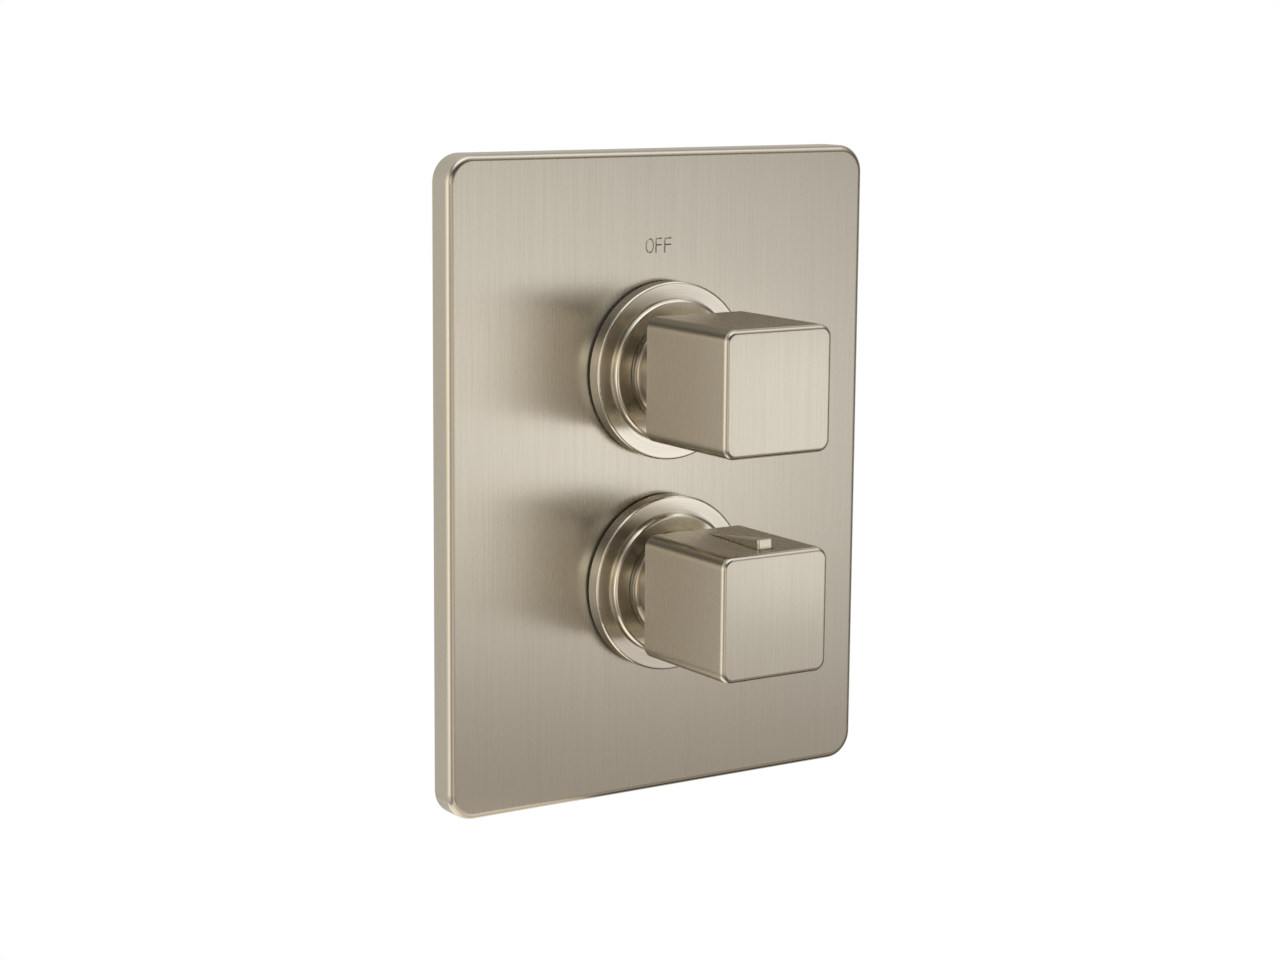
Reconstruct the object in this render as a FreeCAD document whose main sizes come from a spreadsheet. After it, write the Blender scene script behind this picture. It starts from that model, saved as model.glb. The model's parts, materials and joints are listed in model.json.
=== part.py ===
import FreeCAD, Part
import math
import os
import re
import Sketcher

# Two-handle shower valve trim. X runs to the user's right, Z up, and the front faces -Y.
# The origin is the middle of the face plate on the wall plane.
# A depth counts from the wall towards the user.

# Driving sizes in millimetres, angles in degrees
SIZES = {
    # Face plate, a shallow pan that stands on the wall
    "plate_width": 160,
    "plate_height": 212,
    "plate_depth": 10,
    "plate_sheet": 1.6,
    "plate_corner_radius": 9,
    "plate_edge_radius": 2.2,
    "knob_spacing": 70,
    # Foam frame inside the rim of the plate
    "gasket_width": 5,
    "gasket_clearance": 0.1,
    "weep_gap": 24,
    # Collars
    "flange_height": 6,
    "flange_land": 5.5,
    "flange_edge_radius": 0.7,
    "step_height": 2.2,
    "step_land": 7.5,
    "step_edge_radius": 1.2,
    "foot_groove_width": 0.5,
    "foot_groove_depth": 0.4,
    "lip_length": 1.7,
    "lip_clearance": 0.3,
    "thread_length": 8,
    "thread_shoulder": 0.5,
    "shank_wall": 2.5,
    "shank_clearance": 0.3,
    # Rubber rings under the flanges
    "seal_thickness": 2,
    "seal_proud": 1,
    "seal_margin": 1.5,
    "seal_clearance": 0.1,
    # Snap rings behind the plate
    "clip_thickness": 1.2,
    "clip_width": 2.2,
    "clip_groove_depth": 1,
    "clip_play": 0.1,
    "clip_gap_angle": 40,
    # Bushes and rings that the hubs turn in and against
    "running_clearance": 0.05,
    "seat_clearance": 0.05,
    "bush_wall": 1.9,
    "bush_play": 0.1,
    "ring_thickness": 1.5,
    "ring_play": 0.3,
    # Temperature stops
    "cold_limit": 180,
    "hot_limit": 60,
    "lug_height": 4,
    "lug_margin": 0.8,
    "lug_clearance": 0.7,
    "lug_gap": 0.1,
    # Hubs
    "hub_radius": 16,
    "hub_wall": 2.5,
    "hub_end_gap": 1.2,
    "journal_reach": 1,
    "flare_radius": 1.7,
    "flare_lip": 0.2,
    "flare_gap": 0.3,
    "neck_length": 11.8,
    "neck_inset": 4,
    "hub_flange_thickness": 3,
    "hub_flange_clearance": 0.1,
    "oring_wire": 1.5,
    "oring_setback": 2.4,
    "oring_groove_width": 1.9,
    # Knobs
    "knob_side": 40,
    "knob_depth": 44,
    "knob_wall": 3,
    "knob_front_wall": 4,
    "knob_corner_radius": 4,
    "knob_edge_radius": 1.5,
    "knob_back_edge_radius": 0.4,
    "boss_wall": 2,
    "boss_gap": 1,
    # Screws that hold the hub flange in the knob
    "screw_land": 0.6,
    "screw_radius": 1.25,
    "screw_head_radius": 2.2,
    "screw_length": 11,
    "screw_socket": 2,
    "screw_socket_depth": 1.4,
    "post_radius": 3.6,
    # Grub screw under each knob
    "set_screw_radius": 2.5,
    "set_screw_length": 8,
    "set_screw_setback": 10,
    "set_screw_socket": 2.5,
    "set_screw_socket_depth": 3,
    "set_screw_bevel": 0.6,
    "set_post_radius": 4.5,
    # Broached sleeve for the valve stem
    "adapter_radius": 7,
    "adapter_tail": 16,
    "adapter_seat": 27.5,
    "pilot_radius": 5,
    "pilot_length": 8,
    "broach_radius": 4.4,
    "broach_length": 14,
    "broach_tooth": 0.5,
    "broach_teeth": 16,
    # Wedge button on the temperature knob
    "wedge_width": 5.6,
    "wedge_tip_width": 0.8,
    "wedge_height": 3.2,
    "wedge_setback": 5.6,
    "wedge_tip_setback": 4.8,
    "wedge_draft": 0.5,
    "wedge_nose_radius": 0.7,
    "wedge_edge_radius": 0.25,
    "button_clearance": 0.35,
    "beam_gap": 0.4,
    "beam_thickness": 3.4,
    "beam_width": 4.4,
    "beam_toe": 1.1,
    "beam_heel": 2.5,
    # Pivot of the wedge
    "pivot_lead": 0.7,
    "pin_radius": 1,
    "ear_gap": 0.3,
    "ear_thickness": 2.4,
    "ear_reach": 2.3,
    "ear_length": 5,
    # Spring under the wedge
    "spring_wire": 0.5,
    "spring_radius": 2.2,
    "spring_turns": 4,
    "spring_length": 5.4,
    "spring_setback": 5.6,
    "spring_clearance": 0.35,
    "spring_play": 0.02,
    "spring_post_length": 1.5,
    # Strip from the wedge to the stop ring
    "tongue_thickness": 1.5,
    "tongue_width": 4,
    "tongue_lap": 9,
    "tail_play": 0.7,
    "rivet_radius": 0.9,
    "rivet_head_radius": 1.6,
    "rivet_head_height": 0.8,
    "rivet_reach": 2,
    "rivet_inset": 2.5,
    # How far a cut runs past the faces it goes through
    "overrun": 1,
}

# Sizes and places that follow from the driving sizes
FORMULAS = {
    "pan_depth": "plate_depth - plate_sheet",
    "pan_half_width": "plate_width / 2 - plate_sheet",
    "pan_half_height": "plate_height / 2 - plate_sheet",
    "pan_corner_radius": "plate_corner_radius - plate_sheet",
    "gasket_half_width": "pan_half_width - gasket_clearance",
    "gasket_half_height": "pan_half_height - gasket_clearance",
    "bush_bore": "hub_radius + running_clearance",
    "bush_outside": "bush_bore + bush_wall",
    "bush_seat": "bush_outside + seat_clearance",
    "thread_radius": "bush_seat + thread_shoulder",
    "shank_radius": "thread_radius + shank_wall",
    "plate_hole": "shank_radius + shank_clearance",
    "step_radius": "hub_radius + step_land",
    "flange_radius": "step_radius + flange_land",
    "flange_back": "plate_depth + seal_proud",
    "flange_front": "plate_depth + flange_height",
    "step_front": "flange_front + step_height",
    "lip_back": "step_front - lip_length",
    "lip_radius": "hub_radius + lip_clearance",
    "seal_front": "plate_depth + seal_thickness",
    "seal_inside": "shank_radius + seal_margin",
    "seal_outside": "flange_radius - seal_margin",
    "clip_front": "pan_depth - clip_play",
    "clip_back": "clip_front - clip_thickness",
    "clip_inside": "shank_radius - clip_groove_depth",
    "ring_back": "thread_length + ring_play",
    "ring_front": "ring_back + ring_thickness",
    "hub_back": "ring_front + hub_end_gap",
    "hub_bore": "hub_radius - hub_wall",
    "flare_back": "step_front + flare_gap",
    "flare_front": "flare_back + flare_lip",
    "flare_outside": "hub_radius + flare_radius + flare_lip",
    "neck_back": "step_front + journal_reach",
    "neck_radius": "knob_side / 2 - neck_inset",
    "neck_bore": "neck_radius - hub_wall",
    "shoulder_radius": "max(hub_radius; neck_radius)",
    "hub_throat": "min(hub_bore; neck_bore)",
    "knob_back": "step_front + neck_length",
    "knob_front": "knob_back + knob_depth",
    "knob_top": "knob_side / 2",
    "cavity_half": "knob_side / 2 - knob_wall",
    "cavity_front": "knob_front - knob_front_wall",
    "hub_flange_front": "knob_back + hub_flange_thickness",
    "hub_flange_half": "cavity_half - hub_flange_clearance",
    "oring_depth": "hub_back + oring_setback",
    "oring_floor": "hub_radius - oring_wire",
    "screw_offset": "(neck_radius + screw_land + screw_head_radius) / sqrt(2)",
    "screw_head_height": "screw_head_radius - screw_radius",
    "boss_radius": "adapter_radius + boss_wall",
    "boss_back": "tongue_front + boss_gap",
    "adapter_back": "knob_back - adapter_tail",
    "adapter_front": "knob_back + adapter_seat",
    "pilot_front": "adapter_back + pilot_length",
    "broach_front": "pilot_front + broach_length",
    "broach_half_tooth": "pi * broach_radius / broach_teeth / 2",
    "set_screw_depth": "knob_back + set_screw_setback",
    "wedge_front": "knob_front - wedge_setback",
    "wedge_tip": "hub_flange_front + wedge_tip_setback",
    "wedge_top": "knob_top + wedge_height",
    "beam_top": "cavity_half - beam_gap",
    "beam_bottom": "beam_top - beam_thickness",
    "beam_front": "wedge_front + beam_toe",
    "beam_back": "pivot_depth - beam_heel",
    "pivot_depth": "wedge_tip + pivot_lead",
    "pivot_height": "(beam_top + beam_bottom) / 2",
    "ear_inside": "beam_width / 2 + ear_gap",
    "ear_outside": "ear_inside + ear_thickness",
    "ear_bottom": "pivot_height - ear_reach",
    "spring_depth": "wedge_front - spring_setback",
    "spring_floor": "beam_bottom - spring_length",
    "tongue_front": "beam_back + tongue_lap",
    "tongue_bottom": "beam_bottom - tongue_thickness",
    "tail_top": "(adapter_radius + hub_throat + tongue_thickness) / 2",
    "tail_bottom": "tail_top - tongue_thickness",
    "tail_back": "ring_front + tail_play",
    "rivet_depth": "tongue_front - rivet_inset",
    "lug_inside": "tail_bottom - lug_margin",
    "lug_outside": "hub_bore - lug_clearance",
    "lug_front": "ring_front + lug_height",
    "lug_edge_angle": "asin((tongue_width / 2 + lug_gap) / lug_inside) / (1 deg)",
    "lug_span": "360 - cold_limit - hot_limit - 2 * lug_edge_angle",
    "lug_start_angle": "cold_limit + lug_edge_angle - 90",
}

# Where the two handles sit on the plate
VOLUME_HEIGHT = "knob_spacing / 2"
TEMPERATURE_HEIGHT = "-knob_spacing / 2"

# The three ways a sketch can lie: the origin plane it uses
SECTION = "XZ_Plane"
PLAN = "XY_Plane"
SIDE = "YZ_Plane"

# Sketch numbers for the origin point, and for the start, the end and the centre of a line or an arc
ORIGIN = -1
START = 1
END = 2
CENTRE = 3

# Two places this close count as one
SAME_PLACE = 1e-4

FULL_TURN = 360
QUARTER_TURN = 90
QUARTERS = FULL_TURN // QUARTER_TURN
COUNTERSINK_SLOPE = 45
CORNERS = ((-1, -1), (1, -1), (1, 1), (-1, 1))

document = FreeCAD.newDocument("shower_valve_trim")
sheet = document.addObject("Spreadsheet::Sheet", "Sizes")
for row, (size_name, size) in enumerate(SIZES.items(), start=1):
    sheet.set(f"A{row}", size_name)
    sheet.set(f"B{row}", str(size))
    sheet.setAlias(f"B{row}", size_name)
document.recompute()

nodes = []


def bind(formula):
    """Spell a formula of size names out as an expression that reads the sheet."""

    def spell(word):
        name = word.group()
        if name in SIZES:
            return "Sizes." + name
        if name in FORMULAS:
            return "(" + bind(FORMULAS[name]) + ")"
        return name

    return re.sub(r"[a-z_]+", spell, formula)


def value(formula):
    """Work out a formula of size names as a number."""
    result = sheet.evalExpression(bind(formula))
    return float(getattr(result, "Value", result))


def new_body(label, height="0"):
    """Start a sub-part whose origin lies on a handle's axis, or on the middle of the plate."""
    body = document.addObject("PartDesign::Body", label)
    body.Label = label
    body.setExpression("Placement.Base.z", bind(height))
    nodes.append(body)
    return body


def new_sketch(body, plane, offset="0"):
    """Start a sketch on one of the body's own planes, moved along its normal by a formula."""
    sketch = body.newObject("Sketcher::SketchObject", body.Label + "_sketch")
    base = next(item for item in body.Origin.OriginFeatures if item.Role == plane)
    sketch.AttachmentSupport = [(base, "")]
    sketch.MapMode = "FlatFace"
    sketch.setExpression("AttachmentOffset.Base.z", bind(offset))
    return sketch


def in_sketch(sketch, place):
    """Turn a place into sketch formulas: a depth runs against the Y axis."""
    first, second = place
    role = sketch.AttachmentSupport[0][0].Role
    if role == PLAN:
        return first, f"-({second})"
    if role == SIDE:
        return f"-({first})", second
    return first, second


def hold(sketch, geometry, end, place):
    """Hold a point of the sketch at its place by two bound distances from the origin."""
    for kind, formula in zip(("DistanceX", "DistanceY"), in_sketch(sketch, place)):
        distance = Sketcher.Constraint(kind, ORIGIN, START, geometry, end, value(formula))
        index = sketch.addConstraint(distance)
        sketch.setExpression(f"Constraints[{index}]", bind(formula))


def draw_outline(sketch, places):
    """Draw a closed outline of straight lines through the places."""
    points = [FreeCAD.Vector(*(value(formula) for formula in in_sketch(sketch, place))) for place in places]
    lines = []
    for index, point in enumerate(points):
        following = points[(index + 1) % len(points)]
        lines.append(sketch.addGeometry(Part.LineSegment(point, following)))
    for index, line in enumerate(lines):
        following = lines[(index + 1) % len(lines)]
        sketch.addConstraint(Sketcher.Constraint("Coincident", line, END, following, START))
    for line, place in zip(lines, places):
        hold(sketch, line, START, place)


def draw_rectangle(sketch, low, high):
    """Draw a rectangle between two opposite corners."""
    draw_outline(sketch, [low, (high[0], low[1]), high, (low[0], high[1])])


def draw_rounded_rectangle(sketch, half_width, half_height, radius):
    """Draw a rectangle about the origin whose corners are arcs."""
    reach = value(radius)
    arcs = []
    for number, (across, up) in enumerate(CORNERS[1:] + CORNERS[:1]):
        centre = (f"{across} * ({half_width} - {radius})", f"{up} * ({half_height} - {radius})")
        point = FreeCAD.Vector(*(value(formula) for formula in in_sketch(sketch, centre)))
        circle = Part.Circle(point, FreeCAD.Vector(0, 0, 1), reach)
        begin = math.radians(QUARTER_TURN * (number - 1))
        arc = sketch.addGeometry(Part.ArcOfCircle(circle, begin, begin + math.radians(QUARTER_TURN)))
        hold(sketch, arc, CENTRE, centre)
        index = sketch.addConstraint(Sketcher.Constraint("Radius", arc, reach))
        sketch.setExpression(f"Constraints[{index}]", bind(radius))
        arcs.append(arc)
    for index, arc in enumerate(arcs):
        following = arcs[(index + 1) % len(arcs)]
        begin = sketch.Geometry[arc].EndPoint
        line = sketch.addGeometry(Part.LineSegment(begin, sketch.Geometry[following].StartPoint))
        sketch.addConstraint(Sketcher.Constraint("Tangent", arc, END, line, START))
        sketch.addConstraint(Sketcher.Constraint("Tangent", line, END, following, START))


def draw_circle(sketch, centre, radius):
    """Draw a circle about a place."""
    point = FreeCAD.Vector(*(value(formula) for formula in in_sketch(sketch, centre)))
    circle = sketch.addGeometry(Part.Circle(point, FreeCAD.Vector(0, 0, 1), value(radius)))
    hold(sketch, circle, CENTRE, centre)
    index = sketch.addConstraint(Sketcher.Constraint("Radius", circle, value(radius)))
    sketch.setExpression(f"Constraints[{index}]", bind(radius))


def draw_hexagon(sketch, centre, across_flats):
    """Draw a hexagon about a place, with two corners level with it."""
    first, second = centre
    corner = f"({across_flats}) / sqrt(3)"
    shares = ((1, 0), (1 / 2, 1), (-1 / 2, 1), (-1, 0), (-1 / 2, -1), (1 / 2, -1))
    places = []
    for corner_share, flat_share in shares:
        along = f"{first} + {corner_share} * {corner}"
        up = f"{second} + {flat_share} * ({across_flats}) / 2"
        places.append((along, up))
    draw_outline(sketch, places)


def four_corners(offset):
    """Give the four places that lie the same offset from the axis both ways."""
    return [(f"{across} * ({offset})", f"{up} * ({offset})") for across, up in CORNERS]


def finish_feature(body, feature):
    """Make a feature the body's last one and work it out."""
    body.Tip = feature
    document.recompute()
    return feature


def pad(body, sketch, length, along=True, symmetric=False):
    """Add material on a sketch, along its normal or against it."""
    feature = body.newObject("PartDesign::Pad", body.Label + "_pad")
    feature.Profile = sketch
    feature.setExpression("Length", bind(length))
    feature.Reversed = not along
    feature.SideType = "Symmetric" if symmetric else "One side"
    return finish_feature(body, feature)


def pocket(body, sketch, length, along=True, symmetric=False):
    """Cut material on a sketch, along its normal or against it, and see that it is gone."""
    before = body.Shape.Volume
    feature = body.newObject("PartDesign::Pocket", body.Label + "_pocket")
    feature.Profile = sketch
    feature.setExpression("Length", bind(length))
    feature.Reversed = along
    feature.SideType = "Symmetric" if symmetric else "One side"
    finish_feature(body, feature)
    if not body.Shape.Volume < before:
        raise ValueError(f"a pocket in {body.Label} cuts nothing")
    return feature


def revolve(body, sketch, angle=str(FULL_TURN)):
    """Turn a sketch about the handle's axis."""
    feature = body.newObject("PartDesign::Revolution", body.Label + "_revolution")
    feature.Profile = sketch
    feature.ReferenceAxis = (sketch, ["V_Axis"])
    feature.setExpression("Angle", bind(angle))
    return finish_feature(body, feature)


def dress_edges(body, kind, size_property, size, wanted):
    """Round or bevel the edges of the body's last feature that the test wants."""
    base = body.Tip
    names = [f"Edge{number}" for number, edge in enumerate(base.Shape.Edges, start=1) if wanted(edge)]
    feature = body.newObject("PartDesign::" + kind, body.Label + "_" + kind.lower())
    feature.Base = (base, names)
    feature.setExpression(size_property, bind(size))
    return finish_feature(body, feature)


def round_edges(body, radius, wanted):
    """Round the wanted edges."""
    return dress_edges(body, "Fillet", "Radius", radius, wanted)


def bevel_edges(body, size, wanted):
    """Bevel the wanted edges alike on both faces."""
    return dress_edges(body, "Chamfer", "Size", size, wanted)


def at_depth(formula):
    """Make a test for edges that lie wholly at one depth."""
    depth = value(formula)

    def test(edge):
        box = edge.BoundBox
        return abs(box.YMin + depth) < SAME_PLACE and abs(box.YMax + depth) < SAME_PLACE

    return test


def at_rim(radius, depth):
    """Make a test for the round edge of one radius at one depth."""
    here = at_depth(depth)
    reach = value(radius)

    def test(edge):
        return here(edge) and abs(edge.BoundBox.XMax - reach) < SAME_PLACE

    return test


def at_height(formula):
    """Make a test for edges that lie wholly at one height."""
    height = value(formula)

    def test(edge):
        box = edge.BoundBox
        return abs(box.ZMin - height) < SAME_PLACE and abs(box.ZMax - height) < SAME_PLACE

    return test


def make_ring(label, height, inside, outside, back, front, angle=str(FULL_TURN)):
    """Make a plain ring on a handle's axis."""
    body = new_body(label, height)
    sketch = new_sketch(body, PLAN)
    draw_rectangle(sketch, (inside, back), (outside, front))
    revolve(body, sketch, angle)
    return body


def make_face_plate():
    """Make the drawn pan with its two collar holes."""
    body = new_body("face_plate")
    outside = new_sketch(body, SECTION)
    draw_rounded_rectangle(outside, "plate_width / 2", "plate_height / 2", "plate_corner_radius")
    pad(body, outside, "plate_depth")
    round_edges(body, "plate_edge_radius", at_depth("plate_depth"))
    hollow = new_sketch(body, SECTION)
    draw_rounded_rectangle(hollow, "pan_half_width", "pan_half_height", "pan_corner_radius")
    pocket(body, hollow, "pan_depth")
    holes = new_sketch(body, SECTION)
    for height in (VOLUME_HEIGHT, TEMPERATURE_HEIGHT):
        draw_circle(holes, ("0", height), "plate_hole")
    pocket(body, holes, "plate_depth + overrun")


def make_wall_gasket():
    """Make the foam frame that lines the rim, with a gap at the bottom for water to leave by."""
    body = new_body("wall_gasket")
    outside = new_sketch(body, SECTION)
    gasket_corner = "(pan_corner_radius - gasket_clearance)"
    draw_rounded_rectangle(outside, "gasket_half_width", "gasket_half_height", gasket_corner)
    pad(body, outside, "pan_depth")
    inside = new_sketch(body, SECTION)
    low = ("-gasket_half_width + gasket_width", "-gasket_half_height + gasket_width")
    high = ("gasket_half_width - gasket_width", "gasket_half_height - gasket_width")
    draw_rectangle(inside, low, high)
    pocket(body, inside, "pan_depth + overrun")
    weep = new_sketch(body, SECTION)
    low = ("-weep_gap / 2", "-gasket_half_height - overrun")
    high = ("weep_gap / 2", "-gasket_half_height + gasket_width + overrun")
    draw_rectangle(weep, low, high)
    pocket(body, weep, "pan_depth + overrun")


def make_collar(name, height):
    """Make a stepped collar with its threaded bore and the grooves for seal, snap ring and step."""
    body = new_body(name + "_collar", height)
    sketch = new_sketch(body, PLAN)
    draw_outline(
        sketch,
        [
            ("thread_radius", "0"),
            ("shank_radius", "0"),
            ("shank_radius", "clip_back - clip_play / 2"),
            ("clip_inside", "clip_back - clip_play / 2"),
            ("clip_inside", "clip_front + clip_play / 2"),
            ("shank_radius", "clip_front + clip_play / 2"),
            ("shank_radius", "flange_back"),
            ("seal_inside", "flange_back"),
            ("seal_inside", "seal_front"),
            ("seal_outside", "seal_front"),
            ("seal_outside", "flange_back"),
            ("flange_radius", "flange_back"),
            ("flange_radius", "flange_front"),
            ("step_radius + foot_groove_width", "flange_front"),
            ("step_radius + foot_groove_width", "flange_front - foot_groove_depth"),
            ("step_radius", "flange_front - foot_groove_depth"),
            ("step_radius", "step_front"),
            ("lip_radius", "step_front"),
            ("lip_radius", "lip_back"),
            ("bush_seat", "lip_back"),
            ("bush_seat", "thread_length"),
            ("thread_radius", "thread_length"),
        ],
    )
    revolve(body, sketch)
    round_edges(body, "flange_edge_radius", at_rim("flange_radius", "flange_front"))
    round_edges(body, "step_edge_radius", at_rim("step_radius", "step_front"))


def make_collar_fittings(name, height):
    """Make the seal, the snap ring and the bush of a collar."""
    seal_inside = "seal_inside + seal_clearance"
    seal_outside = "seal_outside - seal_clearance"
    make_ring(name + "_collar_seal", height, seal_inside, seal_outside, "plate_depth", "seal_front")
    clip_inside = "clip_inside + seat_clearance"
    clip_outside = "clip_inside + clip_width"
    open_angle = f"{FULL_TURN} - clip_gap_angle"
    clip = name + "_collar_clip"
    make_ring(clip, height, clip_inside, clip_outside, "clip_back", "clip_front", open_angle)
    bush_back = "ring_front + bush_play"
    bush_front = "lip_back - bush_play"
    make_ring(name + "_bush", height, "bush_bore", "bush_outside", bush_back, bush_front)


def make_stop_ring():
    """Make the ring whose lug meets the strip at the cold end and at the hot end of the turn."""
    label = "temperature_stop_ring"
    body = make_ring(label, TEMPERATURE_HEIGHT, "lug_inside", "bush_outside", "ring_back", "ring_front")
    sketch = new_sketch(body, PLAN)
    draw_rectangle(sketch, ("lug_inside", "ring_back"), ("lug_outside", "lug_front"))
    turn = FreeCAD.Rotation(FreeCAD.Vector(0, 1, 0), value("lug_start_angle"))
    sketch.AttachmentOffset = FreeCAD.Placement(FreeCAD.Vector(), turn)
    sketch.setExpression("AttachmentOffset.Rotation.Angle", bind("lug_start_angle"))
    revolve(body, sketch, "lug_span")


def make_hub(name, height):
    """Make the journal with its flare, and the neck with the flange that closes the knob."""
    body = new_body(name + "_hub", height)
    journal = new_sketch(body, PLAN)
    draw_outline(
        journal,
        [
            ("hub_bore", "hub_back"),
            ("hub_radius", "hub_back"),
            ("hub_radius", "oring_depth - oring_groove_width / 2"),
            ("oring_floor", "oring_depth - oring_groove_width / 2"),
            ("oring_floor", "oring_depth + oring_groove_width / 2"),
            ("hub_radius", "oring_depth + oring_groove_width / 2"),
            ("hub_radius", "flare_back"),
            ("flare_outside", "flare_back"),
            ("flare_outside", "flare_front"),
            ("hub_radius", "flare_front"),
            ("hub_radius", "neck_back + hub_wall"),
            ("hub_bore", "neck_back + hub_wall"),
        ],
    )
    revolve(body, journal)
    round_edges(body, "flare_radius", at_rim("hub_radius", "flare_front"))
    shoulder = new_sketch(body, SECTION, "neck_back")
    draw_circle(shoulder, ("0", "0"), "shoulder_radius")
    draw_circle(shoulder, ("0", "0"), "hub_throat")
    pad(body, shoulder, "hub_wall")
    neck = new_sketch(body, SECTION, "neck_back")
    draw_circle(neck, ("0", "0"), "neck_radius")
    draw_circle(neck, ("0", "0"), "neck_bore")
    pad(body, neck, "hub_flange_front - neck_back")
    flange = new_sketch(body, SECTION, "knob_back")
    draw_rectangle(flange, ("-hub_flange_half", "-hub_flange_half"), ("hub_flange_half", "hub_flange_half"))
    draw_circle(flange, ("0", "0"), "neck_bore")
    pad(body, flange, "hub_flange_thickness")
    holes = new_sketch(body, SECTION, "knob_back")
    for place in four_corners("screw_offset"):
        draw_circle(holes, place, "screw_radius + seat_clearance")
    pocket(body, holes, "hub_flange_thickness + overrun")
    reach = value("screw_radius + seat_clearance")
    behind = at_depth("knob_back")

    def screw_mouth(edge):
        return behind(edge) and abs(edge.BoundBox.XLength - 2 * reach) < SAME_PLACE

    bevel_edges(body, "screw_head_height", screw_mouth)


def make_hub_screws(name, height):
    """Make the four countersunk screws of a hub flange."""
    body = new_body(name + "_hub_screws", height)
    shanks = new_sketch(body, SECTION, "knob_back")
    for place in four_corners("screw_offset"):
        draw_circle(shanks, place, "screw_radius")
    pad(body, shanks, "screw_length")
    heads = new_sketch(body, SECTION, "knob_back")
    for place in four_corners("screw_offset"):
        draw_circle(heads, place, "screw_head_radius")
    head = pad(body, heads, "screw_head_height")
    head.TaperAngle = -COUNTERSINK_SLOPE
    document.recompute()
    sockets = new_sketch(body, SECTION, "knob_back")
    for place in four_corners("screw_offset"):
        draw_hexagon(sockets, place, "screw_socket")
    pocket(body, sockets, "screw_socket_depth")


def make_hub_oring(name, height):
    """Make the O-ring in the hub's groove."""
    ring = document.addObject("Part::Torus", name + "_hub_oring")
    ring.Label = name + "_hub_oring"
    forward = FreeCAD.Rotation(FreeCAD.Vector(1, 0, 0), QUARTER_TURN)
    ring.Placement = FreeCAD.Placement(FreeCAD.Vector(), forward)
    ring.setExpression("Radius1", bind("hub_radius - oring_wire / 2"))
    ring.setExpression("Radius2", bind("oring_wire / 2"))
    ring.setExpression("Placement.Base.y", bind("-oring_depth"))
    ring.setExpression("Placement.Base.z", bind(height))
    nodes.append(ring)


def make_knob(name, height):
    """Make the hollow square knob with its boss, its screw posts and its grub screw post."""
    body = new_body(name + "_knob", height)
    outside = new_sketch(body, SECTION, "knob_back")
    draw_rounded_rectangle(outside, "knob_side / 2", "knob_side / 2", "knob_corner_radius")
    pad(body, outside, "knob_depth")
    round_edges(body, "knob_edge_radius", at_depth("knob_front"))
    round_edges(body, "knob_back_edge_radius", at_depth("knob_back"))
    hollow = new_sketch(body, SECTION, "knob_back")
    draw_rectangle(hollow, ("-cavity_half", "-cavity_half"), ("cavity_half", "cavity_half"))
    pocket(body, hollow, "knob_depth - knob_front_wall")
    boss = new_sketch(body, SECTION, "boss_back")
    draw_circle(boss, ("0", "0"), "boss_radius")
    pad(body, boss, "cavity_front + knob_front_wall / 2 - boss_back")
    posts = new_sketch(body, SECTION, "hub_flange_front")
    for place in four_corners("screw_offset"):
        draw_circle(posts, place, "post_radius")
    pad(body, posts, "cavity_front + knob_front_wall / 2 - hub_flange_front")
    set_post = new_sketch(body, PLAN)
    draw_circle(set_post, ("0", "set_screw_depth"), "set_post_radius")
    pad(body, set_post, "cavity_half + knob_wall / 2", along=False)
    adapter_bore = new_sketch(body, SECTION, "knob_back")
    draw_circle(adapter_bore, ("0", "0"), "adapter_radius + seat_clearance")
    pocket(body, adapter_bore, "adapter_seat + seat_clearance")
    screw_holes = new_sketch(body, SECTION, "knob_back")
    for place in four_corners("screw_offset"):
        draw_circle(screw_holes, place, "screw_radius + seat_clearance")
    pocket(body, screw_holes, "screw_length + overrun")
    set_hole = new_sketch(body, PLAN)
    draw_circle(set_hole, ("0", "set_screw_depth"), "set_screw_radius + seat_clearance")
    pocket(body, set_hole, "knob_side / 2 + overrun", along=False)
    return body


def cut_button_seat(body):
    """Cut the wedge's slot in the temperature knob and add the ears and the spring seat inside."""
    slot = new_sketch(body, PLAN, "knob_top + overrun")
    tip_half = "wedge_tip_width / 2 + button_clearance"
    front_half = "wedge_width / 2 + button_clearance"
    tip = "wedge_tip - button_clearance"
    front = "wedge_front + button_clearance"
    corners = [(f"-({tip_half})", tip), (tip_half, tip), (front_half, front), (f"-({front_half})", front)]
    draw_outline(slot, corners)
    pocket(body, slot, "knob_wall + 2 * overrun", along=False)
    ears = new_sketch(body, PLAN, "cavity_half + knob_wall / 2")
    ear_back = "pivot_depth - ear_length / 2"
    ear_front = "pivot_depth + ear_length / 2"
    draw_rectangle(ears, ("-ear_outside", ear_back), ("-ear_inside", ear_front))
    draw_rectangle(ears, ("ear_inside", ear_back), ("ear_outside", ear_front))
    pad(body, ears, "cavity_half + knob_wall / 2 - ear_bottom", along=False)
    pin_hole = new_sketch(body, SIDE)
    draw_circle(pin_hole, ("pivot_depth", "pivot_height"), "pin_radius + seat_clearance")
    pocket(body, pin_hole, "2 * (ear_outside + overrun)", symmetric=True)
    spring_seat = new_sketch(body, PLAN, "boss_radius + overrun")
    draw_circle(spring_seat, ("0", "spring_depth"), "spring_radius + spring_wire / 2 + spring_clearance")
    pocket(body, spring_seat, "boss_radius + overrun - spring_floor", along=False)


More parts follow.
